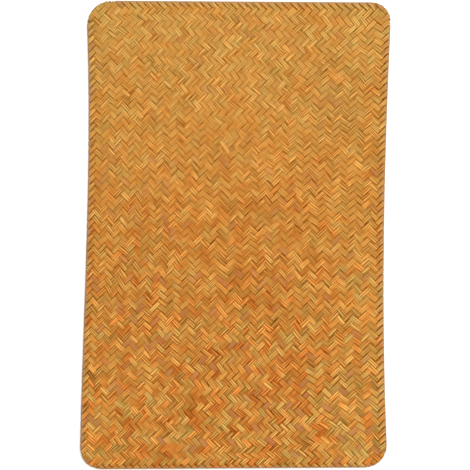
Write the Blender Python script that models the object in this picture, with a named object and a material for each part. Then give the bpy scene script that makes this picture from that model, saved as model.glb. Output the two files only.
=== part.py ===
"""A woven rectangular placemat: one flat mat whose strips fold over its own edge.

The mat is made in two steps. It is first laid out as a true rectangle with rounded corners,
and is then drawn in at the waist and leant over by drawn(), as an uneven hand-woven mat is.
"""
import math

import bmesh
import bpy
import numpy as np

MM = 0.001

# The true rectangle, before it is drawn in: outer sizes and the radius of each corner.
WIDTH = 295 * MM
LENGTH = 448.8 * MM
CORNERS = (
    # name, side across, side along, radius
    ("head_right", 1, 1, 19.5 * MM),
    ("head_left", -1, 1, 25.5 * MM),
    ("foot_left", -1, -1, 20.5 * MM),
    ("foot_right", 1, -1, 22.5 * MM),
)

# Where the long sides really run, at four heights along the mat.
SIDES = (
    # height along, left edge, right edge
    (225 * MM, -143.6 * MM, 150.5 * MM),
    (75 * MM, -141.3 * MM, 144.6 * MM),
    (-75 * MM, -145.3 * MM, 142.8 * MM),
    (-225 * MM, -149.7 * MM, 146.8 * MM),
)
RIGHT_SIDE_SHORTER = 0.004  # share of the length, at each side of the middle

# The edge: one strip after another folds over it and lies across it at 45 degrees.
STRIP_STEP = 7.2 * MM  # along the edge, from one folded strip to the next
STRIP_SECTION = (0, 0.1, 1)  # across one strip and the groove beside it: share of the groove
FIELD_HEIGHT = 2.3 * MM
RIM_HEIGHT = 3.0 * MM
RIM_SECTION = (
    # name, inset from the edge, run along the edge, height, groove inwards, groove downwards
    ("sole", 1.3 * MM, 1.3 * MM, 0, 0, 0),
    ("lower_edge", 0.2 * MM, 0.6 * MM, 0.8 * MM, 0.5 * MM, 0),
    ("upper_edge", 0.2 * MM, -0.6 * MM, 2.1 * MM, 0.6 * MM, 0.2 * MM),
    ("crown", 1.6 * MM, -1.9 * MM, RIM_HEIGHT, 0, 0.9 * MM),
    ("shoulder", 4.4 * MM, -4.7 * MM, RIM_HEIGHT - 0.2 * MM, 0, 0.8 * MM),
    ("tuck", 5.9 * MM, -6.2 * MM, 1.9 * MM, 0, 0.1 * MM),
    ("field", 7.2 * MM, -7.2 * MM, FIELD_HEIGHT, 0, 0),
)

# The field isn't quite flat: long low waves, which lift its top face.
WAVES = (
    # name, crests across, crests along, phase, height
    ("broad", 0.9, 1.3, 0.4, 0.16 * MM),
    ("skew", 1.7, -2.1, 1.9, 0.1 * MM),
    ("short", -3.1, 4.2, 0.8, 0.07 * MM),
)
FIELD_CELL = 34 * MM  # the largest facet of the top face

STRAW = (0.56, 0.33, 0.11, 1)


def clear_scene():
    for item in list(bpy.data.objects):
        bpy.data.objects.remove(item, do_unlink=True)


def corner_centre(corner):
    _, across, along, radius = corner
    return across * (WIDTH / 2 - radius), along * (LENGTH / 2 - radius), radius


def edge_runs():
    """The rectangle's edge, anticlockwise from the foot of its right side.

    Each run is (length, where) and where(step) gives the point after that step and the
    direction that points out of the mat there.
    """
    runs = []
    for turn, corner in enumerate(CORNERS):
        before = CORNERS[turn - 1]
        outward = turn * math.pi / 2
        x, y, radius = corner_centre(corner)
        start_x, start_y, start_radius = corner_centre(before)
        side = abs(y - start_y) if turn % 2 == 0 else abs(x - start_x)
        runs.append((side, straight_run(outward, start_x, start_y, start_radius)))
        runs.append((radius * math.pi / 2, corner_run(outward, x, y, radius)))
    return runs


def straight_run(outward, x, y, radius):
    out_x, out_y = math.cos(outward), math.sin(outward)

    def where(step):
        return x + radius * out_x - step * out_y, y + radius * out_y + step * out_x, out_x, out_y

    return where


def corner_run(outward, x, y, radius):
    def where(step):
        angle = outward + step / radius
        out_x, out_y = math.cos(angle), math.sin(angle)
        return x + radius * out_x, y + radius * out_y, out_x, out_y

    return where


def edge_point(runs, step, inset):
    """The point at a step along the edge and an inset from it, in the true rectangle."""
    step %= sum(length for length, _ in runs)
    for length, where in runs:
        if step <= length:
            break
        step -= length
    x, y, out_x, out_y = where(min(step, length))
    return x - inset * out_x, y - inset * out_y


def side_curves():
    """Two cubics through SIDES: how far each long side moves from the true rectangle."""
    heights = [row[0] for row in SIDES]
    left = [row[1] + WIDTH / 2 for row in SIDES]
    right = [row[2] - WIDTH / 2 for row in SIDES]
    degree = len(SIDES) - 1
    return np.polyfit(heights, left, degree), np.polyfit(heights, right, degree)


def drawn(curves, x, y):
    """The true rectangle's point, moved to where it lies in the uneven mat."""
    left, right = curves
    share = x / WIDTH + 0.5
    moved_x = x + (1 - share) * np.polyval(left, y) + share * np.polyval(right, y)
    moved_y = y * (1 - RIGHT_SIDE_SHORTER * x / (WIDTH / 2))
    return moved_x, moved_y


def wave_height(x, y):
    total = 0
    for _, across, along, phase, height in WAVES:
        total += height * math.sin(2 * math.pi * (across * x / WIDTH + along * y / LENGTH) + phase)
    return total


def rim_loop(runs, strips, row):
    """Points round the mat at one row of the rim's section, slanted as the strips lie."""
    _, inset, run_along, height, groove_in, groove_down = row
    around = sum(length for length, _ in runs)
    count = strips * len(STRIP_SECTION)
    points = []
    for number in range(count):
        depth = STRIP_SECTION[number % len(STRIP_SECTION)]
        step = around * number / count + run_along
        x, y = edge_point(runs, step, inset + depth * groove_in)
        points.append((x, y, height - depth * groove_down))
    return points


def place_loop(loop, points):
    for vertex, point in zip(loop, points):
        vertex.co = point


def next_loop(bm, loop):
    """Extrudes a ring of edges and returns the new ring, in the same order as the old."""
    order = bm.verts.layers.int["order"]
    edges = [bm.edges.get((loop[i - 1], loop[i])) for i in range(len(loop))]
    made = bmesh.ops.extrude_edge_only(bm, edges=edges)["geom"]
    fresh = [item for item in made if isinstance(item, bmesh.types.BMVert)]
    return sorted(fresh, key=lambda vertex: vertex[order])


def cut_field(bm, face):
    """Cuts the top face into cells, so that it can follow the waves."""
    pieces = [face]
    for axis, span in ((0, WIDTH), (1, LENGTH)):
        cells = math.ceil(span / FIELD_CELL)
        for number in range(1, cells):
            spot = [0, 0, 0]
            normal = [0, 0, 0]
            spot[axis] = span * (number / cells - 0.5)
            normal[axis] = 1
            whole = pieces + list({edge for part in pieces for edge in part.edges})
            whole += list({vertex for part in pieces for vertex in part.verts})
            made = bmesh.ops.bisect_plane(bm, geom=whole, plane_co=spot, plane_no=normal)
            pieces = [item for item in made["geom"] if isinstance(item, bmesh.types.BMFace)]
    return {vertex for part in pieces for vertex in part.verts}


def centre_on_origin(bm):
    """Puts the origin under the middle of the mat's own box."""
    shift = [0, 0, 0]
    for axis in (0, 1):
        places = [vertex.co[axis] for vertex in bm.verts]
        shift[axis] = -(min(places) + max(places)) / 2
    print("moved by", [round(step / MM, 3) for step in shift], "mm")
    bmesh.ops.translate(bm, vec=shift, verts=bm.verts)


def mat_mesh():
    runs = edge_runs()
    strips = round(sum(length for length, _ in runs) / STRIP_STEP)
    print(strips, "strips fold over the edge")
    bm = bmesh.new()
    order = bm.verts.layers.int.new("order")
    bmesh.ops.create_circle(bm, segments=strips * len(STRIP_SECTION), radius=WIDTH)
    loop = list(bm.verts)
    for number, vertex in enumerate(loop):
        vertex[order] = number
    place_loop(loop, rim_loop(runs, strips, RIM_SECTION[0]))
    bm.faces.new(reversed(loop))
    for row in RIM_SECTION[1:]:
        loop = next_loop(bm, loop)
        place_loop(loop, rim_loop(runs, strips, row))
    field = cut_field(bm, bm.faces.new(loop))
    for vertex in field:
        vertex.co.z += wave_height(vertex.co.x, vertex.co.y)
    curves = side_curves()
    for vertex in bm.verts:
        vertex.co.x, vertex.co.y = drawn(curves, vertex.co.x, vertex.co.y)
    centre_on_origin(bm)
    bmesh.ops.recalc_face_normals(bm, faces=bm.faces)
    bmesh.ops.triangulate(bm, faces=bm.faces)
    mesh = bpy.data.meshes.new("mat")
    bm.to_mesh(mesh)
    bm.free()
    return mesh


def straw_material():
    material = bpy.data.materials.new("straw_strip")
    material.use_nodes = True
    shader = material.node_tree.nodes["Principled BSDF"]
    shader.inputs["Base Color"].default_value = STRAW
    shader.inputs["Roughness"].default_value = 0.55
    shader.inputs["Metallic"].default_value = 0
    return material


def main():
    clear_scene()
    parts = bpy.data.collections.new("woven_placemat")
    bpy.context.scene.collection.children.link(parts)
    mesh = mat_mesh()
    mesh.materials.append(straw_material())
    mesh.shade_smooth()
    mesh.set_sharp_from_angle(angle=math.radians(40))
    parts.objects.link(bpy.data.objects.new("mat", mesh))


main()
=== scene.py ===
# %% [markdown]
# # A woven placemat, strip by strip
#
# The mat is a flat rectangle with rounded corners, woven from straw-coloured strips about
# 5 mm wide. They run at 45 degrees to its sides, over two and under two, and fold back over
# its edge. A picture of weave on a flat slab would do from far away. Here every strip is
# modelled instead, so that the gaps, the soft crowns and the shadows are real from any side.
# The slits and the rolled rim also get painted shade in their colour.

import math
from types import SimpleNamespace

import bmesh
import bpy
import numpy as np
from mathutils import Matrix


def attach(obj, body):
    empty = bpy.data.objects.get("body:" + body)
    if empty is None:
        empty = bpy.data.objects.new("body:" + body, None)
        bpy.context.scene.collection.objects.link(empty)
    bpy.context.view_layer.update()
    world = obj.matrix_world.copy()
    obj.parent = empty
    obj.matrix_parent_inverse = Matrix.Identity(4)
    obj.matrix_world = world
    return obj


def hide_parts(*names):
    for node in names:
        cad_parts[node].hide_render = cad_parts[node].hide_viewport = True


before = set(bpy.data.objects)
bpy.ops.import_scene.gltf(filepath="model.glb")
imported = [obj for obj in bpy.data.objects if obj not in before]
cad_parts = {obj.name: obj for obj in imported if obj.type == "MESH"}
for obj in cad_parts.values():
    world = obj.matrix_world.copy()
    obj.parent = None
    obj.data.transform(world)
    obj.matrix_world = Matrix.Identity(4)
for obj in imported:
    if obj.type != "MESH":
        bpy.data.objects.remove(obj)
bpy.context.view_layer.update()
MM = 0.001

# %% [markdown]
# ## The view
#
# The mat is seen from straight above. A long lens from high up keeps its sides straight and
# its strips the same size everywhere, as they look there. One pixel is 0.961 mm, because the
# mat's length of 450 mm covers 468 of them.

# %% camera
FRAME_PIXELS = 470
MM_PER_PIXEL = 0.961
MAT_CENTRE_PIXEL = (235.25, 234.9)
CAMERA_HEIGHT = 3.0
SENSOR = 36.0

view_width = FRAME_PIXELS * MM_PER_PIXEL * MM
camera_data = bpy.data.cameras.new("camera_above")
camera_data.sensor_width = SENSOR
camera_data.lens = SENSOR * CAMERA_HEIGHT / view_width
camera = bpy.data.objects.new("camera_above", camera_data)
camera.location = (
    (FRAME_PIXELS / 2 - MAT_CENTRE_PIXEL[0]) * MM_PER_PIXEL * MM,
    (MAT_CENTRE_PIXEL[1] - FRAME_PIXELS / 2) * MM_PER_PIXEL * MM,
    CAMERA_HEIGHT,
)
bpy.context.scene.collection.objects.link(camera)
bpy.context.scene.camera = camera
print("lens", round(camera_data.lens, 1), "mm")

# %% [markdown]
# ## The mat's plan
#
# A weaver lays a mat out as a true rectangle, and it then pulls in at the waist and leans a
# little. The strips are laid out the same way: everything is worked out in the true
# rectangle, and one function, drawn, moves each point to where it lies in the uneven mat.

# %% sizes of the true rectangle
WIDTH = 295 * MM
LENGTH = 448.8 * MM
CORNER_RADIUS = {
    # across, along: radius
    (1, 1): 19.5 * MM,
    (-1, 1): 25.5 * MM,
    (-1, -1): 20.5 * MM,
    (1, -1): 22.5 * MM,
}
SIDES = np.array(
    [
        # height along, left edge, right edge
        (225, -143.6, 150.5),
        (75, -141.3, 144.6),
        (-75, -145.3, 142.8),
        (-225, -149.7, 146.8),
    ]
)
RIGHT_SIDE_SHORTER = 0.004

heights, left_edge, right_edge = SIDES.T * MM
left_curve = np.polyfit(heights, left_edge + WIDTH / 2, len(SIDES) - 1)
right_curve = np.polyfit(heights, right_edge - WIDTH / 2, len(SIDES) - 1)


def drawn(x, y):
    share = x / WIDTH + 0.5
    moved_x = x + (1 - share) * np.polyval(left_curve, y) + share * np.polyval(right_curve, y)
    return moved_x, y * (1 - RIGHT_SIDE_SHORTER * x / (WIDTH / 2))


# %% [markdown]
# ## The weave's grid
#
# Think of the crossings as squares standing on a corner. Their centres lie on a grid, and a
# strip steps one column across and one row along from each crossing to the next. The folds
# at the edge run through the centres of the outermost crossings, so the grid ends there.
# Hand weaving isn't even: the columns get wider towards the right, and the rows lie a little
# closer together near the head and the foot.

# %% the grid of crossings
COLUMNS = 82
ROWS = 127
FOLD_INSET = 1.5 * MM  # from the outer edge to the line on which the strips fold
STEP_X = (WIDTH - 2 * FOLD_INSET) / COLUMNS
STEP_Y = (LENGTH - 2 * FOLD_INSET) / ROWS
WIDENING = 0.0031 * MM  # how much wider each column's half is than the one before
CLOSING = 1.15e-5 * MM  # the same for the rows, growing as the square from the middle
CELL = math.hypot(STEP_X, STEP_Y)  # along a strip, from one crossing to the next
PITCH = 2 * STEP_X * STEP_Y / CELL  # from one strip to the next beside it
STRIP_WIDTH = 0.99 * PITCH
print("step along a strip", round(CELL / MM, 2), "mm, pitch", round(PITCH / MM, 2), "mm")


def grid_point(column, row):
    """A grid place in the true rectangle. Row 0 is at the foot, column 0 at the left."""
    x = column * (STEP_X + WIDENING * (column - COLUMNS)) - WIDTH / 2 + FOLD_INSET
    middle = row - ROWS / 2
    y = middle * (STEP_Y + CLOSING * ((ROWS / 2) ** 2 - middle**2))
    return x, y


def grid_steps(column, row):
    """The width of a column and the length of a row at a grid place."""
    step_x = STEP_X + WIDENING * (2 * column - COLUMNS)
    step_y = STEP_Y + CLOSING * ((ROWS / 2) ** 2 - 3 * (row - ROWS / 2) ** 2)
    return step_x, step_y


# %% [markdown]
# The weave is laid in rectangles, one inside the other. Beside the long sides the zigzags
# run across the mat, and near the head and the foot they run along it. Which strip lies on
# top depends only on how many steps a crossing is from its nearest edge, two over and two
# under. Where the zones meet, on the mitres, floats of one and three crossings appear. The
# left and the right half meet a little left of the middle, in one column of long floats, and
# the foot's first row is narrower than the head's.

# %% which strip is on top
MEETING_COLUMN = 38.5
FOOT_START = 1  # rows that the foot's zones have lost at the edge


def rising_on_top(column, row):
    """1 where the strip that rises to the right lies on top, and -1 where it lies below."""
    from_side = np.where(column < MEETING_COLUMN, column, COLUMNS - column)
    from_end = np.minimum(row + FOOT_START, ROWS - row)
    beside = from_side // 2 % 2 == 0
    at_end = from_end // 2 % 2 == 1
    return np.where(np.where(from_side <= from_end, beside, at_end), 1, -1)


# %% [markdown]
# The rounded corners cut the grid short. The distance to the fold line tells how deep inside
# the mat a point lies. It is below zero outside that line.


# %% depth inside the fold line
def depth_inside(x, y):
    half_x = WIDTH / 2 - FOLD_INSET
    half_y = LENGTH / 2 - FOLD_INSET
    radius = np.zeros_like(x)
    for (across, along), corner in CORNER_RADIUS.items():
        radius = np.where((x * across >= 0) & (y * along >= 0), corner - FOLD_INSET, radius)
    past_x = np.abs(x) - half_x + radius
    past_y = np.abs(y) - half_y + radius
    outside = np.hypot(np.maximum(past_x, 0), np.maximum(past_y, 0))
    return radius - outside - np.minimum(np.maximum(past_x, past_y), 0)


# %% [markdown]
# ## Heights
#
# Two layers of strips make the mat's thickness. A strip's level is 1 where it lies on top
# and -1 where it lies below, and it changes between the two in the slit beside a crossing
# strip. The whole mat also rises and falls a little, in long low waves.

# %% heights and waves
MIDDLE = 1.42 * MM  # height of the plane between the layers
LIFT = 0.54 * MM  # of a strip's middle above or below that plane
THICKNESS = 0.80 * MM
FOLD_LIFT = 0.95 * MM  # the same as LIFT, where a strip folds over the edge
WAVES = (
    # name, crests across, crests along, phase, height
    ("broad", 0.9, 1.3, 0.4, 0.10 * MM),
    ("skew", 1.7, -2.1, 1.9, 0.06 * MM),
)
PRESSED = 0.03 * MM  # the lowest strips are pressed flat at this height, just off the surface


def wave_height(x, y):
    total = np.zeros_like(x)
    for _, across, along, phase, height in WAVES:
        total += height * np.sin(2 * math.pi * (across * x / WIDTH + along * y / LENGTH) + phase)
    return total


def smooth(share):
    share = np.clip(share, 0, 1)
    return share * share * (3 - 2 * share)


# %% [markdown]
# No row of a hand-woven mat is quite straight. Inside its edge the weave strays by a millimetre
# or two. All strips near a place stray together, so that they keep touching one another.

# %% how the weave strays
STRAYS = (
    # name, crests across, crests along, phase, distance across, distance along
    ("leaning rows", 0.55, 0.9, 0.7, 0.2 * MM, 1.5 * MM),
    ("bowed rows", -1.2, 1.7, 2.6, 0.4 * MM, 1.0 * MM),
    ("bowed columns", 1.4, -2.3, 4.4, 0.9 * MM, 0.3 * MM),
    ("long bend", 3.1, 2.9, 1.1, 0.5 * MM, 0.7 * MM),
    ("short bend", -2.2, 6.3, 5.2, 0.6 * MM, 0.5 * MM),
    ("long kink", 5.3, 6.9, 3.3, 0.25 * MM, 0.35 * MM),
    ("short kink", -7.1, 8.7, 0.4, 0.3 * MM, 0.25 * MM),
)
STRAY_DEPTH = 25 * MM  # from here inwards the weave strays in full


def strayed(x, y):
    share = smooth(depth_inside(x, y) / STRAY_DEPTH)
    moved_x, moved_y = x, y
    for _, across, along, phase, step_x, step_y in STRAYS:
        wave = np.sin(2 * math.pi * (across * x / WIDTH + along * y / LENGTH) + phase)
        moved_x = moved_x + share * wave * step_x
        moved_y = moved_y + share * wave * step_y
    return moved_x, moved_y


# %% [markdown]
# ## A strip's section
#
# A dry strip is nearly flat, with a low crown and clear edges. Eight points go round it.
# Each strip is made from a flat grid of faces, eight across, which is rolled up into this
# section and laid along its path, so all that is needed are the places of the grid's points.

# %% the section
SECTION = np.array(
    [
        # share of the width, share of the thickness
        (-0.50, 0.00),
        (-0.475, 0.36),
        (0.00, 0.50),
        (0.475, 0.36),
        (0.50, 0.00),
        (0.475, -0.36),
        (0.00, -0.50),
        (-0.475, -0.36),
        (-0.50, 0.00),
    ]
)
AROUND = len(SECTION) - 1
SHARP_POINTS = (1, 3, 5, 7)
CROWN_POINT = 2

# %% [markdown]
# ## Building many strips as one mesh
#
# Each strip keeps notes on its points, which the material reads later: how far along and
# across the strip a point lies, the shade of its strip and of its float, whether the strip
# lies flat there or is on its way to the other layer, whether it bends over the edge, and
# whether it is the leg of a fold, and whether the strip beside it, on its left or its right,
# is on top at the same place.

# %% the strip builder
START = 0.5  # half of a grid that create_grid makes with size 0.5
NOTES = (
    "strip_shade",
    "float_shade",
    "dull",
    "on_top",
    "rim",
    "leg",
    "beside_left",
    "beside_right",
)


class StripMesh:
    def __init__(self, name):
        self.name = name
        self.bm = bmesh.new()
        self.laid = self.bm.verts.layers.float_vector.new("laid")
        self.point = self.bm.verts.layers.int.new("section_point")
        self.notes = [self.bm.verts.layers.float.new(note) for note in NOTES]
        self.count = 0

    def add(self, places, laid, notes):
        """places and laid are (stations, section points, 3), and notes are one a station."""
        stations = len(places)
        made = bmesh.ops.create_grid(
            self.bm, x_segments=stations - 1, y_segments=AROUND, size=START
        )["verts"]
        notes = [np.broadcast_to(notes[note], stations) for note in NOTES]
        for vertex in made:
            station = round((vertex.co.x + START) / (2 * START) * (stations - 1))
            point = round((vertex.co.y + START) / (2 * START) * AROUND)
            vertex.co = places[station, point]
            vertex[self.laid] = laid[station, point]
            vertex[self.point] = point
            for layer, values in zip(self.notes, notes):
                vertex[layer] = values[station]
        self.count += 1

    def finish(self):
        """Closes each rolled grid along its seam and at its ends, and makes the object."""
        bm = self.bm
        bmesh.ops.remove_doubles(bm, verts=bm.verts, dist=1e-7)
        open_edges = [edge for edge in bm.edges if edge.is_boundary]
        bmesh.ops.holes_fill(bm, edges=open_edges, sides=AROUND)
        bmesh.ops.recalc_face_normals(bm, faces=bm.faces)
        for face in bm.faces:
            face.smooth = True
        for edge in bm.edges:
            first, second = (vertex[self.point] for vertex in edge.verts)
            edge.smooth = not (first == second and first in SHARP_POINTS)
        triangles = sum(len(face.verts) - 2 for face in bm.faces)
        still_open = sum(edge.is_boundary for edge in bm.edges)
        mesh = bpy.data.meshes.new(self.name)
        bm.to_mesh(mesh)
        bm.free()
        piece = bpy.data.objects.new(self.name, mesh)
        bpy.context.scene.collection.objects.link(piece)
        print(self.name, self.count, "strips", triangles, "triangles", still_open, "open edges")
        return piece


# %% [markdown]
# ## The field
#
# A strip of the field is a row of crossings. Its stations lie at the middle of each crossing,
# between two crossings of the same level, and five times through each change of level, so
# that faces are spent where the strip bends. It turns down sharply just before the crossing
# strip and levels out slowly beneath it, which gives the floats their square ends. Hand-cut
# strips differ: each gets its own width, wanders a little and tilts from float to float.
#
# A strip ends in one of two ways. At a straight side it thins out and goes under the strips
# that fold over the edge there. In a rounded corner the grid runs on to the edge, and the
# strip bends over it by itself, so there it gets more stations and turns about the fold line.

# %% how a strip ends
TURN_ABOVE = 0.10  # share of a cell in which a strip turns down before it is covered
TURN_BELOW = 0.30
CHANGE_AT = np.array([-TURN_ABOVE, -TURN_ABOVE / 2, 0, TURN_BELOW / 2, TURN_BELOW])
REACH = 1.38  # grid steps from the fold line to where a folded strip goes under
FOOT_REACH = 0.55  # the same at the foot, where the zone's first row is narrower
TUCK_START = 0.83  # shares of the reach: where the field's strips lie between the layers
TUCK_END = 1.25
CLIP = 0.62
CORNER_END = -1.5 * MM  # depth at which a strip that bends over a corner ends
CORNER_STATION = 0.12  # of a cell, between stations near a corner's edge
ROLL = 1.0 * MM  # how far a strip runs while it turns by one radian about the fold line


def outermost_folds():
    """How far the two sides at each corner are folded: across at its end, along its side."""
    limits = {}
    for (across, along), radius in CORNER_RADIUS.items():
        row = ROWS if along > 0 else 0
        column = COLUMNS if across > 0 else 0
        x, _ = grid_point(np.arange(row % 2, COLUMNS + 1, 2), row)
        _, y = grid_point(column, np.arange(column % 2, ROWS + 1, 2))
        x, y = x * across, y * along
        last_x = x[x <= WIDTH / 2 - radius].max()
        last_y = y[y <= LENGTH / 2 - radius].max()
        limits[across, along] = (last_x + STEP_X, last_y + STEP_Y)
    return limits


fold_limits = outermost_folds()
LEG_DEPTH = 6 * MM  # how far in the slanted edge of the last fold counts


def in_corner(x, y):
    """Whether a point lies in a corner, past the slanted edges of the last folds beside it."""
    inside = np.zeros(np.shape(x), bool)
    for (across, along), (limit_x, limit_y) in fold_limits.items():
        hand = across * along
        from_side = np.clip(WIDTH / 2 - FOLD_INSET - x * across, 0, LEG_DEPTH)
        from_end = np.clip(LENGTH / 2 - FOLD_INSET - y * along, 0, LEG_DEPTH)
        root_x = x * across - hand * from_end * STEP_X / STEP_Y
        root_y = y * along + hand * from_side * STEP_Y / STEP_X
        inside |= (root_x > limit_x) & (root_y > limit_y)
    return inside


def reach_at(column, row):
    """How far in the folded strips nearest to a place reach."""
    at_foot = row < np.minimum(column, COLUMNS - column)
    return np.where(at_foot, FOOT_REACH * STEP_Y, REACH * STEP_X)


def bend_over(x, y, height, wider):
    """Turns what lies outside the fold line about that line, as far as it lies out.

    wider is added to the turn's radius, so that all strips reach out equally far.
    """
    tiny = 0.01 * MM
    depth = depth_inside(x, y)
    inward_x = (depth_inside(x + tiny, y) - depth_inside(x - tiny, y)) / (2 * tiny)
    inward_y = (depth_inside(x, y + tiny) - depth_inside(x, y - tiny)) / (2 * tiny)
    beyond = np.maximum(-depth, 0)
    angle = beyond / ROLL
    shift = beyond - (np.abs(height) + wider) * np.sin(angle)
    shift = np.where(beyond > 0, shift, 0)
    return x + inward_x * shift, y + inward_y * shift, height * np.cos(angle)


# %% one strip of the field
SEED = 20
dice = np.random.default_rng(SEED)
WIDTHS = (0.965, 1.03)  # how much narrower or wider a strip may be than STRIP_WIDTH
SWELL = (0.02, 26 * MM)  # its width's own share of change along it, and how far that takes
WANDERS = (
    # distance sideways, how far along that takes
    (0.10 * MM, 43 * MM),
    (0.07 * MM, 17 * MM),
)
TILT = 0.13 * MM
ARCH = 0.10  # extra level in the middle of a float
END_THICKNESS = 0.35  # share of the thickness at a strip's thinned end


def stations_along(last, levels, place_at):
    """Steps along a strip, in cells, where its section is set."""
    steps = [np.arange(last + 1.0)]
    for number in range(last):
        down = (levels[number] - levels[number + 1]) / 2
        steps.append(number + 0.5 + (CHANGE_AT * down if down else np.zeros(1)))
    fine = np.arange(0, last, CORNER_STATION)
    x, y = grid_point(*place_at(fine))
    depth = depth_inside(x, y)
    inside = in_corner(x, y)
    steps.append(fine[inside & (depth > CORNER_END) & (depth < -CORNER_END / 2)])
    passing = np.flatnonzero((inside[1:] != inside[:-1]) & (depth[1:] < LEG_DEPTH))
    steps += [fine[passing], fine[passing + 1]]
    steps = np.unique(np.round(np.concatenate(steps), 3))
    column, row = place_at(steps)
    x, y = grid_point(column, row)
    limit = np.where(in_corner(x, y), CORNER_END, CLIP * reach_at(column, row))
    return steps[depth_inside(x, y) > limit]


def level_along(steps, levels):
    """The level at each step: 1 on top, -1 below, and between them where it changes."""
    cell = np.clip(np.floor(steps).astype(int), 0, len(levels) - 2)
    first, second = levels[cell], levels[cell + 1]
    past = (steps - cell - 0.5) * np.where(first < second, -1, 1)
    above = 1 - np.clip(1 + past / TURN_ABOVE, 0, 1) ** 2
    below = np.clip(1 - past / TURN_BELOW, 0, 1) ** 2 - 1
    changing = np.where(past < 0, above, below)
    arched = 1 + ARCH * (np.abs(past) < 0.01)
    return np.where(first == second, first * arched, changing)


def field_strip(mesh, start_column, start_row, rises, cells):
    """Adds the strip that starts at a crossing and runs up or down to the right."""

    def place_at(steps):
        return start_column + steps, start_row + (steps if rises else -steps)

    levels = rising_on_top(*place_at(np.arange(cells))) * (1 if rises else -1)
    floats = np.concatenate([[0], np.cumsum(levels[1:] != levels[:-1])])
    shades = dice.random(floats[-1] + 1)
    tilts = dice.normal(0, TILT, floats[-1] + 1)
    width = STRIP_WIDTH * dice.uniform(*WIDTHS)
    phases = dice.uniform(0, 2 * math.pi, 3)
    strip_shade, dull, length_start = dice.random(), dice.random(), dice.random()

    steps = stations_along(cells - 1, levels, place_at)
    if len(steps) < 4:
        return
    column, row = place_at(steps)
    x, y = grid_point(column, row)
    depth = depth_inside(x, y)
    reach = reach_at(column, row)

    level = level_along(steps, levels)
    tucked = smooth((depth / reach - TUCK_START) / (TUCK_END - TUCK_START))
    tucked = np.where(in_corner(x, y), 1, tucked)
    level = level * tucked
    nearest = np.clip(np.round(steps).astype(int), 0, cells - 1)
    tilt = tilts[floats[nearest]] * np.abs(level)
    thick = THICKNESS * (END_THICKNESS + (1 - END_THICKNESS) * tucked)
    raised = np.where(in_corner(x, y), 1 - smooth(depth / REACH / STEP_X), 0)
    lift = LIFT + (FOLD_LIFT - LIFT) * raised

    along = steps * CELL
    wander = sum(
        distance * np.sin(along / run + phase)
        for (distance, run), phase in zip(WANDERS, phases)
    )
    step_x, step_y = grid_steps(column, row)
    slope = step_y if rises else -step_y
    length = np.hypot(step_x, step_y)
    width_here = width * (1 + SWELL[0] * np.sin(along / SWELL[1] + phases[2]))
    width_here = width_here * 2 * step_x * step_y / length / PITCH
    across = SECTION[:, 0][None, :] * width_here[:, None]
    offset = across + wander[:, None]
    flat_x = x[:, None] - offset * (slope / length)[:, None]
    flat_y = y[:, None] + offset * (step_x / length)[:, None]
    flat_x, flat_y = strayed(flat_x, flat_y)
    height = (lift * level)[:, None] + SECTION[:, 1][None, :] * thick[:, None]
    height = height + SECTION[:, 0][None, :] * tilt[:, None]
    wider = np.maximum(FOLD_LIFT - np.abs(lift * level), 0)[:, None]
    bent_x, bent_y, height = bend_over(flat_x, flat_y, height, wider)
    place_x, place_y = drawn(bent_x, bent_y)
    height = np.maximum(height + MIDDLE + wave_height(bent_x, bent_y), PRESSED)
    places = np.stack([place_x, place_y, height], axis=-1)
    along_all = np.broadcast_to(along[:, None] + length_start, across.shape)
    laid = np.stack([along_all, across, np.full(across.shape, strip_shade)], axis=-1)
    notes = {
        "strip_shade": strip_shade,
        "float_shade": shades[floats[nearest]],
        "dull": dull,
        "on_top": np.abs(level),
        # rim marks where the strip bends over a corner's edge, for the painted shade there
        "rim": np.where(in_corner(x, y), smooth(0.3 - depth / MM), 0),
        "leg": 0.0,
    }
    rise = 1 if rises else -1
    for note, hand in (("beside_left", 1), ("beside_right", -1)):
        column, row = place_at(np.arange(cells))
        beside = rising_on_top(column - hand * rise, row + hand) * rise
        notes[note] = np.interp(steps, np.arange(cells), beside > 0)
    mesh.add(places, laid, notes)


# %% [markdown]
# Two families of strips cross: those that rise to the right and those that fall. A crossing
# is where column and row add up to an even number. Each family is shared out over two meshes,
# strip by strip, because a mesh of all of them would be too heavy to edit.

# %% the field's strips
SHARES = 2
field_pieces = []

for family in ("rising", "falling"):
    meshes = [StripMesh(f"{family}_strips_{letter}") for letter in "ab"]
    first = -COLUMNS + 2 if family == "rising" else 2
    last = ROWS - 1 if family == "rising" else COLUMNS + ROWS - 1
    for number, line in enumerate(range(first, last, 2)):
        if family == "rising":
            start_column = max(0, -line)
            start_row = start_column + line
            cells = min(COLUMNS - start_column, ROWS - start_row) + 1
        else:
            start_column = max(0, line - ROWS)
            start_row = line - start_column
            cells = min(COLUMNS - start_column, start_row) + 1
        if cells > 2:
            mesh = meshes[number % SHARES]
            field_strip(mesh, start_column, start_row, family == "rising", cells)
    field_pieces += [mesh.finish() for mesh in meshes]

# %% [markdown]
# ## The folded edge
#
# At the edge a strip comes from below, folds over and runs back on top, at 45 degrees to the
# edge. Its end goes under the first crossing strips. The folds follow one another all round
# the mat, so they are laid out along its edge: a place there is a run along the edge and a
# distance inwards, and round the corners they fan out by themselves.


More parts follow.
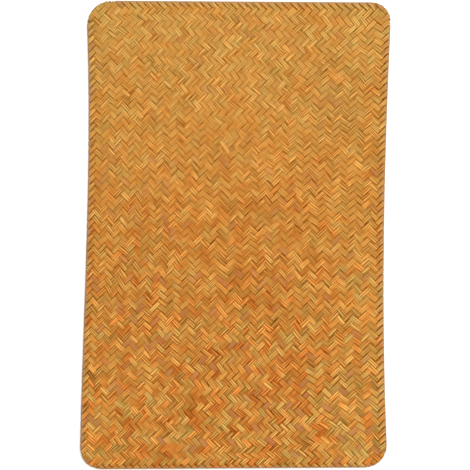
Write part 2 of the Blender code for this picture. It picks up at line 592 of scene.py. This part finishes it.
# %% the edge as a path
def edge_path():
    """Run along the fold line, and the place and outward angle there, anticlockwise."""
    turns = ((1, -1), (1, 1), (-1, 1), (-1, -1))
    arc_points = 24
    x, y, angle = [], [], []
    for number, turn in enumerate(turns):
        radius = CORNER_RADIUS[turn] - FOLD_INSET
        centre_x = turn[0] * (WIDTH / 2 - FOLD_INSET - radius)
        centre_y = turn[1] * (LENGTH / 2 - FOLD_INSET - radius)
        for share in np.linspace(0, 1, arc_points):
            outward = (number - 1 + share) * math.pi / 2
            x.append(centre_x + radius * math.cos(outward))
            y.append(centre_y + radius * math.sin(outward))
            angle.append(outward)
    x.append(x[0])
    y.append(y[0])
    angle.append(angle[0] + 2 * math.pi)
    run = np.concatenate([[0], np.cumsum(np.hypot(np.diff(x), np.diff(y)))])
    return run, np.array(x), np.array(y), np.array(angle)


edge_run, edge_x, edge_y, edge_angle = edge_path()
AROUND_EDGE = edge_run[-1]


def edge_place(run, inwards):
    """A place in the true rectangle from a run along the edge and a distance inwards."""
    turns = np.floor(run / AROUND_EDGE)
    run = run - turns * AROUND_EDGE
    x = np.interp(run, edge_run, edge_x)
    y = np.interp(run, edge_run, edge_y)
    angle = np.interp(run, edge_run, edge_angle)
    return x - inwards * np.cos(angle), y - inwards * np.sin(angle), angle


print("the fold line is", round(AROUND_EDGE / MM, 1), "mm round")

# %% [markdown]
# Along the straight sides the folds belong to the grid: one fold for every second row or
# column. A corner has none, as the strips bend over its edge by themselves.


# %% where the folds are
def run_at(x, y):
    """The run along the edge nearest to a point on the fold line."""
    fine = np.linspace(0, AROUND_EDGE, 20001)
    fine_x, fine_y, _ = edge_place(fine, 0)
    return fine[np.argmin(np.hypot(fine_x - x, fine_y - y))]


def side_folds():
    """(run along the edge, spacing, lean, reach) of each fold on the four straight sides."""
    places = []
    for column in (COLUMNS, 0):
        places += [(column, row, True) for row in range(column % 2, ROWS + 1, 2)]
    for row in (ROWS, 0):
        places += [(column, row, False) for column in range(row % 2, COLUMNS + 1, 2)]
    folds = []
    for column, row, on_long_side in places:
        x, y = grid_point(column, row)
        step_x, step_y = grid_steps(column, row)
        if abs(depth_inside(np.array(x), np.array(y))) < 0.01 * MM:
            lean = step_y / step_x if on_long_side else step_x / step_y
            spacing, reach = (2 * step_y, REACH * step_x)
            if not on_long_side:
                spacing, reach = 2 * step_x, (REACH if row else FOOT_REACH) * step_y
            folds.append((run_at(x, y), spacing, lean, reach))
    return folds


folds = side_folds()
print(len(folds), "folds round the edge")

# %% [markdown]
# One fold is a short strip. Its stations go from its end under the crossing strips, along
# the top to the edge, round it in a half circle, and back below. Out in the field a section
# stands square to the strip, and at the edge it lies along the edge, where the strip bends.

# %% one folded strip
LEG = (
    # name, share of the reach, level, squareness to the strip, thickness, width
    ("end", 1.34, -0.10, 1.0, 0.3, 0.84),
    ("under", 1.15, 0.10, 1.0, 0.6, 0.90),
    ("slit", 0.99, 0.60, 1.0, 0.9, 0.96),
    ("float", 0.82, 0.97, 1.0, 1.0, 1.00),
    ("crown", 0.50, 1.04, 0.7, 1.0, 0.88),
    ("by the fold", 0.14, 1.00, 0.2, 1.0, 0.90),
)
BEND_ANGLES = (55, 0, -55)
BEND_WIDTH = 1.03
FOLD_WIDTHS = (0.90, 1.01)  # how much narrower or wider a folded strip may be
FOLD_TILT = (0.10 * MM, 0.12 * MM)  # the usual tilt of a fold, and how far it varies
FOLD_END_LIFT = LIFT + 0.1 * MM  # what a fold's lift falls to as it runs in


def fold_stations():
    """Rows of side, depth share, angle, level, squareness, thickness and width."""
    top = [(1, share, 90, *rest) for _, share, *rest in LEG]
    bend = [(1 if angle > 0 else -1, 0, angle, 1, 0, 1, BEND_WIDTH) for angle in BEND_ANGLES]
    below = [(-1, row[1], -90, *row[3:]) for row in reversed(top)]
    return np.array(top + bend + below, float)


def folded_strip(mesh, run, spacing, lean, reach):
    side, share, angle, level, square, thick, wide = fold_stations().T
    bend = np.radians(angle)
    in_bend = np.abs(angle) < 90
    inwards = np.where(in_bend, -FOLD_LIFT * np.cos(bend), share * reach)
    height = np.where(in_bend, FOLD_LIFT * np.sin(bend), side * level * FOLD_LIFT)
    deep = smooth(inwards / reach * 1.5 - 0.5)
    height = height * (1 - deep * (1 - FOLD_END_LIFT / FOLD_LIFT))
    slant = math.hypot(1, lean)
    width = spacing / slant * dice.uniform(*FOLD_WIDTHS) * wide
    across = SECTION[:, 0][None, :] * width[:, None]
    outward = SECTION[:, 1][None, :] * (THICKNESS * thick)[:, None]
    square, side, bend = square[:, None], side[:, None], bend[:, None]
    inwards_here = np.maximum(inwards, 0)[:, None]
    along_edge = run - side * lean * inwards_here
    along_edge = along_edge + across / slant + (1 - square) * across * (slant - 1 / slant)
    depth = inwards[:, None] + side * square * across * lean / slant
    depth = depth - outward * np.cos(bend) * in_bend[:, None]
    flat_x, flat_y, _ = edge_place(along_edge, depth)
    place_x, place_y = drawn(flat_x, flat_y)
    tilt = dice.normal(*FOLD_TILT) * np.abs(level)[:, None]
    rise = height[:, None] + outward * np.where(in_bend[:, None], np.sin(bend), 1)
    rise = rise + tilt * SECTION[:, 0][None, :] * side
    place_z = np.maximum(MIDDLE + wave_height(flat_x, flat_y) + rise, PRESSED)
    places = np.stack([place_x, place_y, place_z], axis=-1)
    crown_steps = np.linalg.norm(np.diff(places[:, CROWN_POINT], axis=0), axis=1)
    length = np.concatenate([[0], np.cumsum(crown_steps)])
    along = np.broadcast_to((length + dice.random())[:, None], across.shape)
    notes = {
        "strip_shade": dice.random(),
        "float_shade": dice.random(),
        "dull": dice.random(),
        "on_top": np.abs(level),
        # rim and leg feed the painted shade on the rolled edge and in the slits between fold
        # legs
        "rim": smooth(1 - 2 * share),
        "leg": smooth(2 * share),
        "beside_left": 1.0,
        "beside_right": 1.0,
    }
    laid = np.stack([along, across, np.full(across.shape, notes["strip_shade"])], axis=-1)
    mesh.add(places, laid, notes)


fold_mesh = StripMesh("folded_edge_strips")
for fold in folds:
    folded_strip(fold_mesh, *fold)
edge_piece = fold_mesh.finish()

# %% [markdown]
# ## Shader expressions
#
# A material is a graph of nodes, which is hard to read as code. A small class wraps a socket,
# so that sums and products of sockets can be written as plain expressions.


# %% sockets as expressions
class Value:
    def __init__(self, nodes, socket):
        self.nodes = nodes
        self.socket = socket

    def math(self, operation, *others, flip=False):
        inputs = (*others, self) if flip else (self, *others)
        return self.nodes.node("ShaderNodeMath", {"operation": operation}, inputs)

    def __add__(self, other):
        return self.math("ADD", other)

    def __sub__(self, other):
        return self.math("SUBTRACT", other)

    def __mul__(self, other):
        return self.math("MULTIPLY", other)

    def __truediv__(self, other):
        return self.math("DIVIDE", other)

    def __radd__(self, other):
        return self.math("ADD", other, flip=True)

    def __rsub__(self, other):
        return self.math("SUBTRACT", other, flip=True)

    def __rmul__(self, other):
        return self.math("MULTIPLY", other, flip=True)

    def size(self):
        return self.math("ABSOLUTE")

    def sine(self):
        return self.math("SINE")

    def fraction(self):
        return self.math("FRACT")

    def clamped(self):
        return self.nodes.node("ShaderNodeClamp", {}, (self, 0.0, 1.0))

    def stepped(self, low, high):
        """0 below low, 1 above high, and smooth between them."""
        settings = {"interpolation_type": "SMOOTHSTEP"}
        return self.nodes.node("ShaderNodeMapRange", settings, (self, low, high, 0.0, 1.0))


class Nodes:
    def __init__(self, material):
        self.tree = material.node_tree

    def node(self, kind, settings, inputs, output=0):
        made = self.tree.nodes.new(kind)
        for name, value in settings.items():
            setattr(made, name, value)
        for number, value in (inputs.items() if isinstance(inputs, dict) else enumerate(inputs)):
            self.feed(made.inputs[number], value)
        return Value(self, made.outputs[output])

    def feed(self, socket, value):
        if isinstance(value, Value):
            self.tree.links.new(value.socket, socket)
        else:
            socket.default_value = value

    def noise(self, place, scale, detail=2.0, roughness=0.5):
        inputs = {"Vector": place, "Scale": scale, "Detail": detail, "Roughness": roughness}
        return self.node("ShaderNodeTexNoise", {"noise_dimensions": "3D"}, inputs)

    def moved(self, place, step):
        return self.node("ShaderNodeVectorMath", {"operation": "ADD"}, (place, step))

    def stretched(self, place, scale):
        return self.node("ShaderNodeVectorMath", {"operation": "MULTIPLY"}, (place, scale))

    def mixed(self, share, first, second, blend="MIX"):
        settings = {"data_type": "RGBA", "blend_type": blend}
        inputs = {0: share, 6: first, 7: second}
        return self.node("ShaderNodeMix", settings, inputs, output=2)

    def ramp(self, share, stops):
        made = self.node("ShaderNodeValToRGB", {}, (share,))
        elements = made.socket.node.color_ramp.elements
        while len(elements) < len(stops):
            elements.new(0.5)
        for element, (place, colour) in zip(elements, stops):
            element.position = place
            element.color = (*colour, 1)
        return made


# %% [markdown]
# ## The strips' finish
#
# Dry plant strips have a low satin shine. Their colour runs from pale straw over gold and
# orange to red-brown, from strip to strip and from float to float, and some show their dull
# olive side. The tones are a strip's lightness, and the tints are what turns it dull or warm.

# %% tones and tints
TONES = (
    # from a strip in deep shade to the palest straw, nearly equally far apart to the eye; the
    # pale end is partly painted sheen
    (0.00, (0.175, 0.044, 0.002)),
    (0.20, (0.250, 0.080, 0.0065)),
    (0.40, (0.360, 0.138, 0.0176)),
    (0.60, (0.495, 0.215, 0.037)),
    (0.80, (0.640, 0.307, 0.065)),
    (1.00, (0.720, 0.370, 0.085)),
)
TINTS = (
    # what a tone is multiplied by, from the dull olive side to deep orange
    (0.00, (0.75, 0.97, 1.10)),
    (0.30, (0.91, 1.01, 1.12)),
    (0.50, (1.00, 1.00, 1.00)),
    (0.75, (1.03, 0.87, 0.75)),
    (1.00, (1.04, 0.73, 0.58)),
)
RED_BROWN = (0.345, 0.124, 0.042, 1)
# the rim's grey-brown is painted shade on the rolled edge
RIM_SHADE_BROWN = (0.37, 0.205, 0.085, 1)
# the slits' dark brown is painted shade
SLIT_SHADE_BROWN = (0.160, 0.039, 0.0005, 1)

# %% [markdown]
# The mat's colour changes from end to end. It is paler and duller at the head and a deeper,
# livelier orange towards the foot, with a pale patch at the foot's right, a dull one at the
# head's left and a brown one below the middle. Each change lies between two places.

# %% where the colour changes
TO_HEAD = (-20 * MM, 210 * MM)  # along the mat, from none to all
OFF_FOOT = (-220 * MM, 120 * MM)
PALE_SIDE = (50 * MM, 140 * MM)  # across the mat
DULL_SIDE = (-140 * MM, -30 * MM)
DULL_HEAD = (130 * MM, 215 * MM)
SPOT_CENTRE = (12 * MM, -52 * MM)
SPOT_SIZE = (45 * MM, 35 * MM)


def read_places(n):
    """What a point of a strip knows: its place, its notes and the patches that it lies in."""
    at = SimpleNamespace()
    at.place = n.node("ShaderNodeTexCoord", {}, (), output=3)
    at.laid = n.node("ShaderNodeAttribute", {"attribute_name": "laid"}, (), output=1)
    for note in NOTES:
        setattr(at, note, n.node("ShaderNodeAttribute", {"attribute_name": note}, (), output=2))
    at.across = n.node("ShaderNodeSeparateXYZ", {}, (at.laid,), output=1) / STRIP_WIDTH
    across_mat, along_mat, at.height = (
        n.node("ShaderNodeSeparateXYZ", {}, (at.place,), output=axis) for axis in range(3)
    )
    at.to_head = along_mat.stepped(*TO_HEAD)
    at.to_foot = 1 - along_mat.stepped(*OFF_FOOT)
    at.pale_side = across_mat.stepped(*PALE_SIDE) * at.to_foot
    at.dull_corner = (1 - across_mat.stepped(*DULL_SIDE)) * along_mat.stepped(*DULL_HEAD)
    spot_x = (across_mat - SPOT_CENTRE[0]) / SPOT_SIZE[0]
    spot_y = (along_mat - SPOT_CENTRE[1]) / SPOT_SIZE[1]
    at.brown_spot = 1 - (spot_x * spot_x + spot_y * spot_y).stepped(0.1, 1.0)
    return at


# %% [markdown]
# Fine fibres and broader streaks run along a strip. Most strips also show two or three ribs,
# which were the plant's veins. They are strong in some parts of the mat and faint in others.


# %% grain
def read_grain(n, at):
    grain = SimpleNamespace()
    grain.fibres = n.noise(n.stretched(at.laid, (55.0, 3000.0, 37.0)), 1.0, 3.0, 0.6) - 0.5
    grain.streaks = n.noise(n.stretched(at.laid, (30.0, 650.0, 91.0)), 1.0, 1.0) - 0.5
    grain.blotches = n.noise(n.stretched(at.laid, (150.0, 300.0, 53.0)), 1.0, 2.0) - 0.5
    grain.lively = n.noise(n.moved(at.place, (5, 5, 0)), 75.0, 1.0).stepped(0.40, 0.62)
    rib_count = 1.5 + at.dull * 1.3
    turn = at.across * rib_count * math.pi + grain.streaks * 0.8 + at.strip_shade * 6.3
    ribs = turn.sine().size().stepped(0.05, 0.80) - 0.62
    grain.ribs = ribs * (0.6 + at.dull) * (0.17 + grain.lively * 0.22)
    return grain


# %% [markdown]
# A strip's lightness adds up from where it lies on the mat, its own shade, its float's shade
# and its grain. Its warmth adds up in the same way, and a few floats are red-brown.


# %% colour
def strip_colour(n, at, grain):
    regions = n.noise(at.place, 11.0, 0.0) - 0.5
    patches = n.noise(at.place, 42.0, 1.0) - 0.5
    warm_regions = n.noise(n.moved(at.place, (3, 7, 0)), 13.0, 0.0) - 0.5
    warm_patches = n.noise(n.moved(at.place, (9, 2, 0)), 90.0, 1.0) - 0.5

    shades = (at.strip_shade - 0.5) * 0.03 + (at.float_shade - 0.5) * 0.10
    shades = shades + grain.blotches * 0.10
    lines = grain.streaks * (0.3 + grain.lively * 0.85) + grain.fibres * 0.45 + grain.ribs
    tone = 0.49 + regions * 0.05 + patches * 0.04 - warm_patches * 0.12
    tone = tone + at.to_head * 0.07 + at.pale_side * 0.06 - at.brown_spot * 0.05 + at.leg * 0.02
    tone = tone + shades * (1 + at.to_foot * 1.4) + lines * (1 + at.to_foot * 0.4)

    other_shade = (at.float_shade * 7.31 + at.strip_shade * 3.7).fraction()
    warmth = 0.56 + (other_shade - 0.5) * (0.12 + at.to_foot * 0.58)
    warmth = warmth - at.to_head * 0.24 - at.dull_corner * 0.14 - at.pale_side * 0.18
    warmth = warmth + warm_regions * (0.25 - at.to_foot * 0.15)
    warmth = warmth + warm_patches * (1.00 + at.to_foot * 0.30)
    warmth = warmth + other_shade.stepped(0.86, 0.96) * (at.to_foot * 0.15)

    colour = n.mixed(1.0, n.ramp(tone, TONES), n.ramp(warmth, TINTS), "MULTIPLY")
    red_brown = (at.float_shade * 13.7 + at.dull * 5.1).fraction().stepped(0.90, 0.97)
    colour = n.mixed(red_brown * (0.3 + at.to_foot * 0.4), colour, RED_BROWN)
    # painted shade darkens the strip where it rolls over the edge
    return n.mixed(at.rim * 0.7, colour, RIM_SHADE_BROWN)


# %% [markdown]
# The slits between strips are painted dark brown: painted shade stands in for the shade that
# falls there. It is darkest between two floats that lie side by side, and widest between the
# legs of the folds. Where a float ends beside a crossing strip, the line is faint, so the
# zigzags show as rows. Painted shade also darkens a float's end where it dives, and the lower
# layer deep in the slits.


# %% slits
def slit_shade(n, at):
    # noise that makes the painted shade in the slits stronger in some places than in others
    shade_patches = n.noise(at.place, 160.0, 1.0).stepped(0.36, 0.62)
    on_left = at.across.stepped(-0.01, 0.01)
    beside = at.beside_right + (at.beside_left - at.beside_right) * on_left
    beside = beside.stepped(0.40, 0.60)
    # painted shade along a strip's edges: in the slits beside floats and between fold legs
    edge = (at.across.size() + at.leg * 0.085).stepped(0.43, 0.475)
    edge = edge * (0.08 + shade_patches * 0.14 + at.leg * 0.25 + beside * (0.50 + shade_patches * 0.45))
    # painted shade where a float dives under a crossing strip, and on the lower layer deep in
    # the slits
    dive_shade = 1 - at.on_top.stepped(0.30, 0.95)
    recess_shade = 1 - ((at.height - MIDDLE).size() / LIFT).stepped(0.1, 0.7)
    return (edge + dive_shade * shade_patches * 0.12 + recess_shade * 0.35).clamped()


# %% strip material
def strip_material():
    material = bpy.data.materials.new("woven_strip")
    material.use_nodes = True
    n = Nodes(material)
    at = read_places(n)
    grain = read_grain(n, at)
    shade = slit_shade(n, at)
    shader = material.node_tree.nodes["Principled BSDF"]
    # the painted shade of the slits, float ends and lower layer darkens the strip colour to
    # brown
    colour = n.mixed(shade, strip_colour(n, at, grain), SLIT_SHADE_BROWN)
    n.feed(shader.inputs["Base Color"], colour)
    n.feed(shader.inputs["Roughness"], (0.50 + grain.fibres * 0.4 + shade * 0.6).clamped())
    raised = grain.fibres + grain.streaks * 0.8 + grain.ribs * 1.2
    bump = {"Strength": 0.5, "Distance": 0.15 * MM, "Height": raised}
    n.feed(shader.inputs["Normal"], n.node("ShaderNodeBump", {}, bump))
    shader.inputs["Specular IOR Level"].default_value = 0.06
    print("the strip material has", len(material.node_tree.nodes), "nodes")
    return material


woven_strip = strip_material()

# %% [markdown]
# ## Putting the pieces in the frame
#
# All the strips together are the mat's one sheet. It lies flat, and it stands for the solid
# that the motion model uses.

# %% riding and hiding the mat part
pieces = [*field_pieces, edge_piece]
for piece in pieces:
    piece.data.materials.append(woven_strip)
    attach(piece, "root")
    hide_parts("mat")

# %% [markdown]
# ## Floor and light
#
# The mat lies on a plain pale floor. A large soft lamp above and a bright sky light it
# evenly, and one lamp from the upper right gives the floats their shape.

# %% floor
FLOOR_SIZE = 6.0
floor_bm = bmesh.new()
bmesh.ops.create_grid(floor_bm, x_segments=1, y_segments=1, size=FLOOR_SIZE / 2)
floor_mesh = bpy.data.meshes.new("floor")
floor_bm.to_mesh(floor_mesh)
floor_bm.free()
floor = bpy.data.objects.new("floor", floor_mesh)
bpy.context.scene.collection.objects.link(floor)
floor_material = bpy.data.materials.new("floor")
floor_material.use_nodes = True
floor_shader = floor_material.node_tree.nodes["Principled BSDF"]
floor_shader.inputs["Base Color"].default_value = (0.93, 0.93, 0.93, 1)
floor_shader.inputs["Roughness"].default_value = 0.9
floor_mesh.materials.append(floor_material)

# %% lights
LAMPS = (
    # name, place, size, power
    ("overhead", (0.3, 0.2, 2.4), 2.5, 36.0),
    ("upper_right", (1.3, 1.1, 1.7), 1.2, 24.0),
)
for name, place, size, power in LAMPS:
    lamp_data = bpy.data.lights.new(name, "AREA")
    lamp_data.size = size
    lamp_data.energy = power
    lamp = bpy.data.objects.new(name, lamp_data)
    lamp.location = place
    lamp.rotation_euler = (-lamp.location).to_track_quat("-Z", "Y").to_euler()
    bpy.context.scene.collection.objects.link(lamp)

world = bpy.data.worlds.new("soft_sky")
world.use_nodes = True
world.node_tree.nodes["Background"].inputs["Color"].default_value = (1, 1, 1, 1)
world.node_tree.nodes["Background"].inputs["Strength"].default_value = 0.73
bpy.context.scene.world = world
bpy.context.scene.view_settings.view_transform = "Standard"
